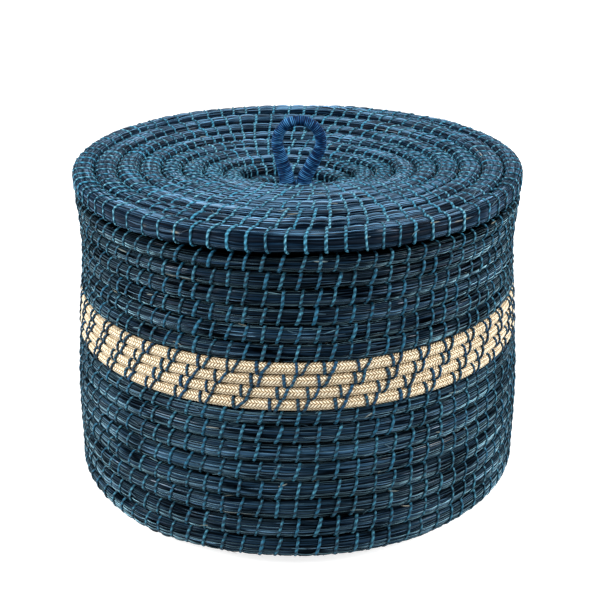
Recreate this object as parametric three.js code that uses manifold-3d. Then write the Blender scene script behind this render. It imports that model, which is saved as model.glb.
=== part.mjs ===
// A round lidded storage basket, coiled from bundles of dyed grass.
//
// One grass bundle is wound into the floor and goes on up the wall. A band of plaited jute and a
// second grass bundle finish the wall. A wider bundle is wound into the dished lid, which has a
// ring beneath that drops into the mouth and a corded finger loop in its middle.
// Millimetres, +Z up, with the origin at the middle of the floor's underside.

import * as THREE from 'three';
import { mergeVertices } from 'three/addons/utils/BufferGeometryUtils.js';
import Module from 'manifold-3d';

// Outside of the wall: radius at the foot, belly, band, waist and rim, with the height of each.
const footRadius = 164;
const footHeight = 14;
const bellyRadius = 164.4;
const bellyHeight = 75;
const bandRadius = 160.2;
const bandHeight = 132;
const waistRadius = 156.4;
const waistHeight = 185;
const rimRadius = 159.4;
const rimHeight = 223.3;
const cornerWidth = 37; // the turn from floor to wall, measured along the floor

// Grass bundles of the floor and wall: depth through the wall, and height of one round.
const wallDepth = 12;
const footRoundHeight = 15; // a round at the foot
const beltRoundHeight = 12.7; // the last full round below the band
const growingRoundCount = 6; // rounds, going down, over which a round grows to footRoundHeight
const lowerRoundCount = 10; // rounds of the wall below the band, down to the turn into the floor
const floorRoundCount = 9;
const floorStartHeight = 6; // height of the bundle where it starts, in the middle of the floor
const floorMiddleRadius = 1; // from the axis to the start of the bundle
const upperRoundCount = 6; // rounds above the band, at the front
const swellTurn = 0.25; // part of a turn in which the upper bundle grows to its full height
const rimEndHeight = 2; // height at which the thinned last round is cut off

// Plaited jute band.
const juteRoundHeight = 8.27;
const juteDepth = 8;
const juteRoundCount = 4;
const bandFootHeight = 116.9; // height of the band's lower edge at the front

// Lid.
const lidOverhang = 0.6; // the lid's edge beyond the rim's
const lidRadius = rimRadius + lidOverhang;
const lidDepth = 15.4; // thickness of the bundle
const lidEdgeWidth = 16; // width of the outermost round
const lidRoundCount = 10;
const eyeRadius = 12.5; // the hole in the middle, which the finger loop's tails go through
const lidEndWidth = 3; // width at which the thinned outermost round is cut off
const lidHollowDepth = 20; // how far the middle lies below the rim
const hollowPower = 1.7; // how steeply the hollow falls towards the middle
const lidWarpHeight = 6; // how far the near half stands up, and the far half hangs down, at most
const steadyGrowth = 0.25; // share of a round's growth that is spread over the whole turn
const stepTurn = 1 / 3; // the last part of a turn, in which the rest of the growth lies

// Ring beneath the lid.
const ringClearance = 6.4; // all round in the mouth
const ringWidth = 11;
const ringHeight = 12;

// Finger loop and its knot.
const cordRadius = 4;
const loopRadius = 15.7; // of the cord's middle line, at the round top
const loopTopOffset = 1.2; // sideways place of the round top
const loopHeight = 27; // from the hinge line up to the middle of the round top
const legLeftOffset = -7.6;
const legRightOffset = 5;
const hingeHeight = 5; // the hinge line above the lid's crest at its middle
const knotRadius = 15;
const knotHeight = 10;

// Clearances.
const roundGap = 0.6; // between rounds
const seatGap = 0.3; // between pieces that rest on each other

// Steps in one turn, and the direction of the first step of each winding.
const STEPS = 20;
const wallStart = Math.PI / 2; // the band starts at the back
const lidStart = wallStart + (3 / STEPS) * 2 * Math.PI; // just past the back
const rimStop = -Math.PI * 0.7; // direction in which the wall's last round has thinned away
const LINE_STEPS = 120; // points on the wall's line
const CORNER_STEPS = 24; // points on its turn from floor to wall

const grass = { color: 0x2a3f58, roughness: 0.7, metalness: 0 };
const jute = { color: 0xd8bf94, roughness: 0.85, metalness: 0 };
const thread = { color: 0x1f5b8a, roughness: 0.5, metalness: 0 };

const wasm = await Module();
wasm.setup();

// A closed solid through rings of points, each ring as long as the first. The ends are flat.
function loft(rings) {
  const sides = rings[0].length;
  const positions = rings.flat().flatMap((p) => [p.x, p.y, p.z]);
  const index = [];
  for (let i = 0; i < rings.length - 1; i += 1) {
    for (let j = 0; j < sides; j += 1) {
      const a = i * sides + j;
      const b = i * sides + ((j + 1) % sides);
      index.push(a, b, a + sides, b, b + sides, a + sides);
    }
  }
  const last = (rings.length - 1) * sides;
  for (let j = 1; j < sides - 1; j += 1) {
    index.push(0, j + 1, j, last, last + j, last + j + 1);
  }
  const geometry = new THREE.BufferGeometry();
  geometry.setAttribute('position', new THREE.Float32BufferAttribute(positions, 3));
  geometry.setIndex(index);
  return facingOut(geometry);
}

// Turns every face over if the solid's volume comes out negative.
function facingOut(geometry) {
  const p = geometry.attributes.position;
  const index = geometry.index.array;
  const [a, b, c] = [new THREE.Vector3(), new THREE.Vector3(), new THREE.Vector3()];
  let volume = 0;
  for (let i = 0; i < index.length; i += 3) {
    a.fromBufferAttribute(p, index[i]);
    b.fromBufferAttribute(p, index[i + 1]);
    c.fromBufferAttribute(p, index[i + 2]);
    volume += a.dot(b.cross(c));
  }
  if (volume < 0) {
    for (let i = 0; i < index.length; i += 3) {
      [index[i + 1], index[i + 2]] = [index[i + 2], index[i + 1]];
    }
  }
  geometry.computeVertexNormals();
  return geometry;
}

function named(name, geometry, finish) {
  const mesh = new THREE.Mesh(geometry, new THREE.MeshStandardMaterial(finish));
  mesh.name = name;
  return mesh;
}

// The line that the middles of the rounds follow from the centre of the floor to the rim, as
// points (radius, height): level, then a quarter of an ellipse, then a smooth curve up the wall.
function wallLine() {
  const half = wallDepth / 2;
  const points = [new THREE.Vector2(0, half)];
  const arc = new THREE.EllipseCurve(
    footRadius - cornerWidth, footHeight, cornerWidth - half, footHeight - half, -Math.PI / 2, 0,
  );
  points.push(...arc.getPoints(CORNER_STEPS));
  const side = new THREE.SplineCurve([
    new THREE.Vector2(footRadius - half, footHeight),
    new THREE.Vector2(bellyRadius - half, bellyHeight),
    new THREE.Vector2(bandRadius - half, bandHeight),
    new THREE.Vector2(waistRadius - half, waistHeight),
    new THREE.Vector2(rimRadius - half, rimHeight),
  ]);
  points.push(...side.getPoints(LINE_STEPS).slice(1));
  return points;
}

// Length along a line of points, up to each of them.
function lengths(points) {
  const sums = [0];
  for (let i = 1; i < points.length; i += 1) {
    sums.push(sums[i - 1] + points[i].distanceTo(points[i - 1]));
  }
  return sums;
}

const line = wallLine();
const lineLengths = lengths(line);

// Place on the wall's line at a length s, with the direction along the line there.
function placeOnWall(s) {
  let i = 1;
  while (i < line.length - 1 && lineLengths[i] < s) i += 1;
  const share = (s - lineLengths[i - 1]) / (lineLengths[i] - lineLengths[i - 1]);
  const along = line[i].clone().sub(line[i - 1]).normalize();
  const at = line[i - 1].clone().lerp(line[i], share);
  return { at, along };
}

// Length along the wall's line at which it reaches a height on the wall.
function lengthAtHeight(height) {
  let i = line.length - 1;
  while (line[i - 1].y > height) i -= 1;
  const share = (height - line[i - 1].y) / (line[i].y - line[i - 1].y);
  return lineLengths[i - 1] + share * (lineLengths[i] - lineLengths[i - 1]);
}

// Rounds of a winding, from one turn to another. heightAt gives the height of a round at a turn,
// and growthAt the share of a round that the first turn has gained by a part of it. Every later
// step lies half of its own height and half of the height below it above the step a turn before.
function windingSteps(from, to, heightAt, growthAt) {
  const first = Math.round(from * STEPS);
  const heights = [];
  for (let i = first; i <= Math.round(to * STEPS); i += 1) heights.push(heightAt(i / STEPS));
  const places = [];
  heights.forEach((height, k) => {
    if (k < STEPS) {
      places.push(growthAt(k / STEPS) * (heights[0] + heights[STEPS]) / 2);
    } else {
      places.push(places[k - STEPS] + (heights[k - STEPS] + height) / 2);
    }
  });
  return { first, places, heights };
}

// The height of a round that makes a measure zero, where the measure changes evenly with it.
function solve(measure) {
  const atNone = measure(0);
  const perHeight = (measure(wallDepth) - atNone) / wallDepth;
  return -atNone / perHeight;
}

// Ends a winding level. Its last turn fills what is left up to a limit, and is cut off where less
// than a least height is left.
function levelEnd(winding, limit, leastHeight) {
  const { places, heights } = winding;
  let k = places.length - STEPS;
  while (k < places.length) {
    const below = places[k - STEPS] + heights[k - STEPS] / 2;
    if (limit - below < leastHeight) break;
    heights[k] = limit - below;
    places[k] = below + heights[k] / 2;
    k += 1;
  }
  places.length = k;
  heights.length = k;
  winding.end = (winding.first + k - 1) / STEPS;
}

const steady = (part) => part;

// Turns of the wall's winding are counted from the start of the band, and go down to the middle of
// the floor. The last one thins away at the rim, in the direction rimStop.
const wallFrom = -(floorRoundCount + lowerRoundCount);
const rimTurns = (rimStop - wallStart) / (2 * Math.PI);
const wallTo = juteRoundCount + upperRoundCount + 1 + rimTurns;

// Height of a round of the wall at turn t, for a height of the rounds of the floor and of those
// above the band.
const wallRoundHeight = (floorRound, upperRound) => (t) => {
  if (t < wallFrom + 1) return floorStartHeight + (floorRound - floorStartHeight) * (t - wallFrom);
  if (t < -lowerRoundCount) return floorRound;
  if (t < -1) {
    const grown = Math.min(1, (-1 - t) / growingRoundCount);
    return beltRoundHeight + (footRoundHeight - beltRoundHeight) * grown;
  }
  if (t < 0) return beltRoundHeight + (juteRoundHeight - beltRoundHeight) * (t + 1);
  const swelled = Math.min(1, Math.max(0, t - juteRoundCount) / swellTurn);
  return juteRoundHeight + (upperRound - juteRoundHeight) * swelled;
};

// The wall's winding, moved along its line until the band's lower edge is at its height in front.
const bandFootLength = lengthAtHeight(bandFootHeight);
const rimLength = lengthAtHeight(rimHeight);
function windWall(floorRound, upperRound) {
  const winding = windingSteps(wallFrom, wallTo, wallRoundHeight(floorRound, upperRound), steady);
  const front = STEPS / 2 - winding.first;
  const shift = bandFootLength + juteRoundHeight / 2 - winding.places[front];
  winding.places = winding.places.map((place) => place + shift);
  return winding;
}

// The floor's rounds fill it from the middle, and the rounds above the band fill the wall up to the
// rim.
const floorRound = solve((height) => {
  const winding = windWall(height, beltRoundHeight);
  return winding.places[0] - winding.heights[0] / 2 - floorMiddleRadius;
});
const upperRound = solve((height) => {
  const winding = windWall(floorRound, height);
  const k = winding.places.length - 1 - STEPS;
  return winding.places[k] + winding.heights[k] / 2 - rimLength;
});
const wallWinding = windWall(floorRound, upperRound);
levelEnd(wallWinding, rimLength, rimEndHeight);

// A value of a winding at a turn, between two steps.
function between(values, first, t) {
  const k = Math.min(values.length - 1.001, Math.max(0, t * STEPS - first));
  const i = Math.floor(k);
  return values[i] + (values[i + 1] - values[i]) * (k - i);
}

// Turns at which rings of a stretch lie: its two ends and every whole step between them.
function ringTurns(start, end) {
  const turns = [start];
  for (let i = Math.floor(start * STEPS) + 1; i < end * STEPS - 0.01; i += 1) {
    if (i > start * STEPS + 0.01) turns.push(i / STEPS);
  }
  turns.push(end);
  return turns;
}

// Section of a bundle: a five-sided shape with its flat side outwards, as shares of the height
// along the wall and of the depth through it.
const bundleSection = [[0.25, 0.5], [0.5, 0], [0, -0.5], [-0.5, 0], [-0.25, 0.5]];

// One ring of points round a middle. along and out are the section's two directions as
// (radius, height), and angle is the direction of the ring from the basket's axis.
function sectionRing(middle, along, out, height, depth, angle) {
  return bundleSection.map(([up, through]) => {
    const radius = middle.x + along.x * up * height + out.x * through * depth;
    const z = middle.y + along.y * up * height + out.y * through * depth;
    return new THREE.Vector3(radius * Math.cos(angle), radius * Math.sin(angle), z);
  });
}

// A stretch of the wall's winding as one tube.
function wallStretch(start, end, depth) {
  return ringTurns(start, end).map((t) => {
    const s = between(wallWinding.places, wallWinding.first, t);
    const height = between(wallWinding.heights, wallWinding.first, t) - roundGap;
    const { at, along } = placeOnWall(s);
    const out = new THREE.Vector2(along.y, -along.x);
    const middle = at.clone().addScaledVector(out, (wallDepth - depth) / 2);
    const ring = sectionRing(middle, along, out, height, depth, wallStart + t * 2 * Math.PI);
    return ring.map((p) => p.setZ(Math.max(0, p.z))); // pressed flat where it stands
  });
}

// Least distance between points on a tube's neighbouring loops.
function leastGap(name, rings) {
  let least = Infinity;
  for (let i = 0; i + STEPS < rings.length; i += 1) {
    for (const j of [i + STEPS - 1, i + STEPS, i + STEPS + 1]) {
      for (const p of rings[i]) {
        for (const q of rings[j] ?? []) least = Math.min(least, p.distanceTo(q));
      }
    }
  }
  if (least < Infinity) console.log(`${name}: least gap between loops ${least.toFixed(2)} mm`);
}

const endGap = roundGap / (4 * Math.PI * bandRadius); // half a gap, in turns
const stretches = {
  floor_coil: wallStretch(wallFrom, -lowerRoundCount - endGap, wallDepth),
  lower_wall_coil: wallStretch(-lowerRoundCount + endGap, -endGap, wallDepth),
  jute_band: wallStretch(endGap, juteRoundCount - endGap, juteDepth),
  upper_wall_coil: wallStretch(juteRoundCount + endGap, wallWinding.end, wallDepth),
};

// Lid: rounds grow from the eye outwards, mostly at the back, and the last one thins to a
// circular edge.
const lidEyeWidth = (2 * (lidRadius - eyeRadius)) / lidRoundCount - lidEdgeWidth;
const lidRoundWidth = (t) => {
  const share = Math.min(1, t / (lidRoundCount - 1));
  return lidEyeWidth + (lidEdgeWidth - lidEyeWidth) * share;
};
const lidGrowth = (part) => {
  const step = Math.max(0, (part - (1 - stepTurn)) / stepTurn);
  return steadyGrowth * part + (1 - steadyGrowth) * step * step * (3 - 2 * step);
};
const lidWinding = windingSteps(0, lidRoundCount, lidRoundWidth, lidGrowth);
const edgeStart = (lidRoundCount - 1) * STEPS;
const lidShift = lidRadius - lidWinding.places[edgeStart] - lidWinding.heights[edgeStart] / 2;
lidWinding.places = lidWinding.places.map((place) => place + lidShift);
levelEnd(lidWinding, lidRadius, lidEndWidth);

// Height of the middle of the lid's bundle over a point, by its radius and direction. The hollow
// falls towards the middle. Inside the rim, which keeps it level, the lid is warped: its near half
// (-Y) stands a little higher than its far half.
const lidSeat = rimHeight - roundGap / 2 + seatGap;
const mouthRadius = rimRadius - wallDepth;
function lidMiddle(radius, angle) {
  const hollow = lidHollowDepth * (1 - Math.min(1, radius / lidRadius)) ** hollowPower;
  const inside = Math.min(1, radius / mouthRadius);
  const warp = lidWarpHeight * 4 * inside * (1 - inside) * -Math.sin(angle);
  return lidSeat + lidDepth / 2 - hollow + warp;
}
const level = new THREE.Vector2(1, 0);
const upright = new THREE.Vector2(0, 1);
const lidRings = ringTurns(0, lidWinding.end).map((t) => {
  const angle = lidStart + t * 2 * Math.PI;
  const radius = between(lidWinding.places, 0, t);
  const width = between(lidWinding.heights, 0, t) - roundGap;
  const middle = new THREE.Vector2(radius, lidMiddle(radius, angle));
  return sectionRing(middle, level, upright, width, lidDepth, angle);
});

// Ring beneath the lid: one round of the same bundle, its ends meeting at the back. It follows
// the lid's underside.
const ringMiddle = mouthRadius - ringClearance - ringWidth / 2;
const ringEndGap = roundGap / (4 * Math.PI * ringMiddle);
const ringRings = ringTurns(ringEndGap, 1 - ringEndGap).map((t) => {
  const angle = wallStart + t * 2 * Math.PI;
  const z = lidMiddle(ringMiddle, angle) - lidDepth / 2 - seatGap - ringHeight / 2;
  const middle = new THREE.Vector2(ringMiddle, z);
  return sectionRing(middle, upright, level, ringHeight, ringWidth, angle);
});

// Finger loop: a cord that goes up one leg, round the top and down the other. Both legs end in a
// ball on the hinge line, so that the loop tips over without moving at its foot.
const loopSides = 10;
const TOP_STEPS = 16; // points on the round top
const BALL_DEGREES = [30, 55, 80]; // rings on the ball at the foot of each leg
const crest = lidMiddle(0, 0) + lidDepth / 2;
const hinge = crest + hingeHeight;
const loopTop = new THREE.Vector2(loopTopOffset, hinge + loopHeight);

// Direction, seen from the middle of the round top, in which a leg's line touches it.
function touchAngle(foot, side) {
  const gap = foot.clone().sub(loopTop);
  return Math.atan2(gap.y, gap.x) - side * Math.acos(loopRadius / gap.length());
}

// Points (sideways, height) from the left foot over the round top to the right foot, with one
// halfway up each leg.
function loopLine() {
  const left = new THREE.Vector2(legLeftOffset, hinge);
  const right = new THREE.Vector2(legRightOffset, hinge);
  const from = touchAngle(left, 1) + 2 * Math.PI;
  const to = touchAngle(right, -1);
  const arc = new THREE.EllipseCurve(
    loopTop.x, loopTop.y, loopRadius, loopRadius, from, to, true,
  ).getPoints(TOP_STEPS);
  const halfUpLeft = left.clone().lerp(arc[0], 0.5);
  const halfUpRight = right.clone().lerp(arc[arc.length - 1], 0.5);
  return [left, halfUpLeft, ...arc, halfUpRight, right];
}

// One ring of the cord at a point of its line, by the direction of the line there.
function cordRing(at, along, radius) {
  return Array.from({ length: loopSides }, (_, j) => {
    const angle = (j / loopSides) * 2 * Math.PI;
    const aside = radius * Math.cos(angle);
    return new THREE.Vector3(
      at.x + along.y * aside,
      radius * Math.sin(angle),
      at.y - along.x * aside,
    );
  });
}

function loopGeometry() {
  const points = loopLine();
  const last = points.length - 1;
  const direction = (i) => {
    const before = points[Math.max(0, i - 1)];
    const after = points[Math.min(last, i + 1)];
    return after.clone().sub(before).normalize();
  };
  const ball = (i, sign) => BALL_DEGREES.map((degrees) => {
    const angle = THREE.MathUtils.degToRad(degrees);
    const along = direction(i);
    const at = points[i].clone().addScaledVector(along, sign * cordRadius * Math.sin(angle));
    return cordRing(at, along, cordRadius * Math.cos(angle));
  });
  const cord = points.map((point, i) => cordRing(point, direction(i), cordRadius));
  return loft([...ball(0, -1).reverse(), ...cord, ...ball(last, 1)]);
}

// A solid for joining, from a geometry whose faces don't share their points yet.
function solid(geometry) {
  geometry.deleteAttribute('normal');
  geometry.deleteAttribute('uv');
  const merged = mergeVertices(geometry, 1e-4);
  return new wasm.Manifold(new wasm.Mesh({
    numProp: 3,
    vertProperties: new Float32Array(merged.attributes.position.array),
    triVerts: new Uint32Array(merged.index.array),
  }));
}

function fromSolid(manifold) {
  const mesh = manifold.getMesh();
  const geometry = new THREE.BufferGeometry();
  geometry.setAttribute('position', new THREE.Float32BufferAttribute(mesh.vertProperties, 3));
  geometry.setIndex(Array.from(mesh.triVerts));
  geometry.computeVertexNormals();
  return geometry;
}

// Knot: the two tails of the loop go down through the eye and are tied in a flat ball that is
// pulled up into the eye from below.
const KNOT_SIDES = 16;

// Height of the knot's middle, at which the knot bears on the sloping underside of the first round.
function knotMiddle() {
  const bearings = ringTurns(0, 1).map((t) => {
    const place = between(lidWinding.places, lidWinding.first, t);
    const half = (between(lidWinding.heights, lidWinding.first, t) - roundGap) / 2;
    const slope = new THREE.Vector2(lidDepth / 2, half).normalize();
    const reach = Math.hypot(slope.x * knotRadius, (slope.y * knotHeight) / 2);
    const inside = (place - half) * Math.cos(Math.PI / STEPS);
    const rise = (slope.x * inside - reach - seatGap) / slope.y;
    return lidMiddle(place, lidStart + t * 2 * Math.PI) + rise;
  });
  return Math.min(...bearings);
}

function knotGeometry() {
  const ball = new THREE.SphereGeometry(knotRadius, KNOT_SIDES, KNOT_SIDES / 2);
  ball.rotateX(Math.PI / 2);
  ball.scale(1, 1, knotHeight / 2 / knotRadius);
  ball.translate(0, 0, knotMiddle());
  let knot = solid(ball);
  const tailTop = hinge - cordRadius - seatGap;
  const tailFoot = knotMiddle();
  for (const x of [legLeftOffset, legRightOffset]) {
    const tail = new THREE.CylinderGeometry(cordRadius, cordRadius, tailTop - tailFoot, loopSides);
    tail.rotateX(Math.PI / 2);
    tail.translate(x, 0, (tailTop + tailFoot) / 2);
    knot = knot.add(solid(tail));
  }
  return fromSolid(knot);
}

const basket = new THREE.Group();
for (const [name, rings] of Object.entries(stretches)) {
  basket.add(named(name, loft(rings), name === 'jute_band' ? jute : grass));
  leastGap(name, rings);
}
const lid = new THREE.Group();
lid.add(named('lid_coil', loft(lidRings), grass));
leastGap('lid_coil', lidRings);
lid.add(named('lid_locating_ring', loft(ringRings), grass));
lid.add(named('finger_loop', loopGeometry(), thread));
lid.add(named('loop_knot', knotGeometry(), thread));
basket.add(lid);

export default basket;
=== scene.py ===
# A round lidded storage basket, coiled from bundles of dyed grass. Metres, +Z up, front at -Y.
import math

import bpy
import numpy as np
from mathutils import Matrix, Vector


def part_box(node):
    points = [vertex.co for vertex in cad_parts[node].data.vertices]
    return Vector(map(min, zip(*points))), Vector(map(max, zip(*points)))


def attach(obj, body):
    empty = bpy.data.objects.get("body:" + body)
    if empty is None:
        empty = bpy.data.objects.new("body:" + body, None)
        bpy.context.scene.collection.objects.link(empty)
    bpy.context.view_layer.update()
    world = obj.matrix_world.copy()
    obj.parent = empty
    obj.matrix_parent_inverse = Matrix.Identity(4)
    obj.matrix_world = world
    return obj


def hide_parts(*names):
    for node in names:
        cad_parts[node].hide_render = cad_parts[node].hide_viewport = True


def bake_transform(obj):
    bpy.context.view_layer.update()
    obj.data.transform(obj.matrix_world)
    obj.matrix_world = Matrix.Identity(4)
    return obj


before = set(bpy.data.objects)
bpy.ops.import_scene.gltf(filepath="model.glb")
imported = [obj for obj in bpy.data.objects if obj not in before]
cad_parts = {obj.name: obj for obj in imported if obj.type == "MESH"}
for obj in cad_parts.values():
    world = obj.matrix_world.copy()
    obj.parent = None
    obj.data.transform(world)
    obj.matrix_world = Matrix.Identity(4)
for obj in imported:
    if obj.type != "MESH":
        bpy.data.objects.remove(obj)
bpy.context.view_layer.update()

scene = bpy.context.scene
random = np.random.default_rng(7)

# Stage: a camera in front of the basket, looking down at it a little, as one looks at a basket
# on the floor from a step away.
AIM_HEIGHT = 0.1282
CAMERA_DISTANCE = 1.0
CAMERA_ELEVATION = math.radians(22.65)
camera = bpy.data.objects.new("camera", bpy.data.cameras.new("camera"))
camera.data.lens = 80
camera.data.sensor_width = 36
camera.data.shift_x = 0.0042
camera.location = (
    0,
    -CAMERA_DISTANCE * math.cos(CAMERA_ELEVATION),
    AIM_HEIGHT + CAMERA_DISTANCE * math.sin(CAMERA_ELEVATION),
)
camera.rotation_euler = (math.pi / 2 - CAMERA_ELEVATION, 0, 0)
scene.collection.objects.link(camera)
scene.camera = camera
scene.view_settings.view_transform = "Standard"

# Light: two soft boxes at the sides, a weak one behind, and a pale floor and background that are
# white to the camera but give the basket only a little light.


class Shade:
    """Wraps an output socket of a shader node. Sums, products and powers of it add Math nodes."""

    def __init__(self, tree, socket=None):
        self.tree = tree
        self.socket = socket

    def node(self, kind, settings=None, inputs=None, output=0):
        """Adds a node: its settings first, a ramp's stops among them, then values or links."""
        made = self.tree.nodes.new("ShaderNode" + kind)
        for name, value in (settings or {}).items():
            if name == "stops":
                elements = made.color_ramp.elements
                while len(elements) < len(value):
                    elements.new(1)
                for element, (place, color) in zip(elements, value):
                    element.position = place
                    element.color = (*color, 1)
            else:
                setattr(made, name, value)
        fill(made, inputs or {})
        return Shade(self.tree, made.outputs[output])

    def math(self, operation, first, second=0.0):
        return self.node("Math", {"operation": operation}, {0: first, 1: second})

    def __add__(self, other):
        return self.math("ADD", self, other)

    def __radd__(self, other):
        return self.math("ADD", other, self)

    def __sub__(self, other):
        return self.math("SUBTRACT", self, other)

    def __rsub__(self, other):
        return self.math("SUBTRACT", other, self)

    def __mul__(self, other):
        return self.math("MULTIPLY", self, other)

    def __rmul__(self, other):
        return self.math("MULTIPLY", other, self)

    def __pow__(self, other):
        return self.math("POWER", self, other)

    def ramp(self, *stops):
        return self.node("ValToRGB", {"stops": stops}, {"Fac": self})

    def step(self, low, high):
        """A smooth step from 0 at the low value to 1 at the high one."""
        settings = {"interpolation_type": "SMOOTHSTEP"}
        return self.node("MapRange", settings, {0: self, 1: low, 2: high})

    def mix(self, first, second):
        """The first color where this value is 0, the second where it is 1."""
        return self.node("Mix", {"data_type": "RGBA"}, {0: self, 6: first, 7: second}, 2)

    def scaled(self, scale):
        """This vector times a scale along each of its axes."""
        return self.node("VectorMath", {"operation": "MULTIPLY"}, {0: self, 1: scale})

    def noise(self, scale, detail=2.0):
        """Noise at this vector, by a scale along each of its axes."""
        place = {"Vector": self.scaled(scale), "Scale": 1.0, "Detail": detail}
        return self.node("TexNoise", None, place)

    def bump(self, strength, distance):
        """The normals of a skin that rises by this value."""
        inputs = {"Strength": strength, "Distance": distance, "Height": self}
        return self.node("Bump", None, inputs)


def fill(node, inputs):
    """Gives a node's inputs their values, or links what has been worked out into them."""
    for name, value in inputs.items():
        if isinstance(value, Shade):
            value.tree.links.new(value.socket, node.inputs[name])
        else:
            node.inputs[name].default_value = value


def material(name, dress):
    """A material whose nodes dress(shade, shader) sets on a Principled shader."""
    made = bpy.data.materials.new(name)
    made.use_nodes = True
    shader = made.node_tree.nodes["Principled BSDF"]
    dress(Shade(made.node_tree), shader)
    return made


def soft_box(name, size, place, power):
    """A soft light as wide as high at a place, turned towards the middle of the basket."""
    light = bpy.data.lights.new(name, "AREA")
    light.size = size
    light.energy = power
    lamp = bpy.data.objects.new(name, light)
    lamp.location = place
    toward = -np.array(place) + (0, 0, AIM_HEIGHT)
    azimuth = math.atan2(toward[1], toward[0])
    drop = math.atan2(-toward[2], math.hypot(toward[0], toward[1]))
    lamp.rotation_euler = (math.pi / 2 - drop, 0, azimuth - math.pi / 2)
    scene.collection.objects.link(lamp)


soft_box("left_box", 1.0, (-1.8, -0.65, 1.25), 71)
soft_box("right_box", 1.0, (1.8, -0.65, 1.25), 63)
soft_box("back_box", 1.2, (0.2, 1.3, 1.5), 7)

world = bpy.data.worlds.new("studio")
scene.world = world
world.use_nodes = True
background = world.node_tree.nodes["Background"]
AMBIENT = 0.22  # the background's strength as a light


def seeing_rays(shade):
    """One for a ray that shows what it meets: from the camera, off a gloss or through something."""
    kinds = "Camera", "Glossy", "Transmission"
    direct, glossy, through = (shade.node("LightPath", output=f"Is {kind} Ray") for kind in kinds)
    return shade.math("MAXIMUM", shade.math("MAXIMUM", direct, glossy), through)


strength = AMBIENT + (1 - AMBIENT) * seeing_rays(Shade(world.node_tree))
fill(background, {"Color": (1, 1, 1, 1), "Strength": strength})

FLOOR_HALF = 6
FLOOR_GREY = 0.5
FLOOR_GLOW = 0.8
floor_mesh = bpy.data.meshes.new("floor")
corners = ((-1, -1), (1, -1), (1, 1), (-1, 1))
floor_mesh.from_pydata([(x * FLOOR_HALF, y * FLOOR_HALF, 0) for x, y in corners], [], [(0, 1, 2, 3)])
floor = bpy.data.objects.new("floor", floor_mesh)
scene.collection.objects.link(floor)


def dress_floor(shade, shader):
    """Diffuse grey, which gives off white light to the rays that see it, so that it looks white."""
    fill(shader, {
        "Base Color": (FLOOR_GREY, FLOOR_GREY, FLOOR_GREY, 1), "Roughness": 1,
        "Emission Color": (1, 1, 1, 1), "Emission Strength": FLOOR_GLOW * seeing_rays(shade),
    })


floor_mesh.materials.append(material("floor", dress_floor))

# Wall and floor: one bundle of grass blades as thick as a finger, wound from the middle of the
# floor to the band, and a second one from the band to the rim. Each round is sewn to the round
# below it through the grass.
WALL_DEPTH = 0.012
PROFILE = (  # outer radius and height: foot, belly, band, waist, rim
    (0.164, 0.014), (0.1644, 0.075), (0.1602, 0.132), (0.1564, 0.185), (0.1594, 0.2233),
)
CORNER_WIDTH = 0.037  # from the level floor to the foot's outermost point
FOOT_ROUND = 0.015  # height of the wall's first round
BELT_ROUND = 0.0127  # and of those just below the band
GROWING_ROUNDS = 6  # rounds below the band over which the height changes
LOWER_ROUNDS = 10
FLOOR_ROUNDS = 9
FLOOR_START = 0.006  # width of the bundle's start in the floor's middle
FLOOR_MIDDLE = 0.001  # radius left open there
UPPER_ROUNDS = 6
SWELL_TURN = 0.25  # part of a turn in which a new bundle reaches its height
RIM_END = 0.002  # least height of the thinned end at the rim
JUTE_ROUND = 0.00827
JUTE_DEPTH = 0.008
JUTE_ROUNDS = 4
BAND_FOOT = 0.1169  # height of the band's lower edge in front
ROUND_GAP = 0.0003  # left open between two rounds
RIM_DROP = 0.0012  # the last round lies this much lower at its top, which leaves a gap to the lid
FULL_HEIGHT = 0.006  # below this height a bundle's end gets thinner both ways
LEAST_DEPTH = 0.05  # share of that height below which it gets no thinner in depth
STEPS = 20  # steps of a winding in one turn
TANGENT_REACH = 0.002  # way to each side that gives the wall's direction
WALL_START = math.pi / 2  # angle where the band starts, at the back
RIM_STOP = -math.pi * 0.7  # angle where the last round ends


def wall_line():
    """Points (radius, height) of the line that the rounds' middles follow, and the length to each:
    level, a quarter of an ellipse, then a Catmull-Rom curve through the profile."""
    half = WALL_DEPTH / 2
    foot_radius, foot_height = PROFILE[0]
    angle = np.linspace(-math.pi / 2, 0, 25)
    corner = np.stack([
        foot_radius - CORNER_WIDTH + (CORNER_WIDTH - half) * np.cos(angle),
        foot_height + (foot_height - half) * np.sin(angle),
    ], 1)
    knots = np.array(PROFILE) - (half, 0)
    knots = np.vstack([knots[:1], knots, knots[-1:]])
    spans = len(PROFILE) - 1
    where = np.linspace(0, spans, 121)[1:]
    i = np.minimum(where.astype(int), spans - 1)
    w = (where - i)[:, None]
    a, b, c, d = (knots[i + k] for k in range(4))
    side = b + w * (c - a) / 2 + w**2 * (a - 2.5 * b + 2 * c - d / 2)
    side += w**3 * (1.5 * b - a / 2 - 1.5 * c + d / 2)
    points = np.vstack([[(0, half)], corner, side])
    length = np.append(0, np.cumsum(np.hypot(*np.diff(points, axis=0).T)))
    return points, length


def wind(first, heights, growth):
    """Places of a winding's steps: each lies half its own height and half the height a turn
    before it beyond the step a turn before. The first turn gains a share of a round by growth."""
    turns = -(-len(heights) // STEPS)
    grid = np.append(heights, np.full(turns * STEPS - len(heights), heights[-1]))
    grid = grid.reshape(turns, STEPS)
    start = growth(np.arange(STEPS) / STEPS) * (heights[0] + heights[STEPS]) / 2
    rise = np.vstack([start, (grid[:-1] + grid[1:]) / 2])
    places = np.cumsum(rise, axis=0).ravel()[:len(heights)]
    return (first + np.arange(len(heights))) / STEPS, places


def even_growth(part):
    """Share of a round gained by a part of a turn: as much as the part."""
    return part


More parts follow.
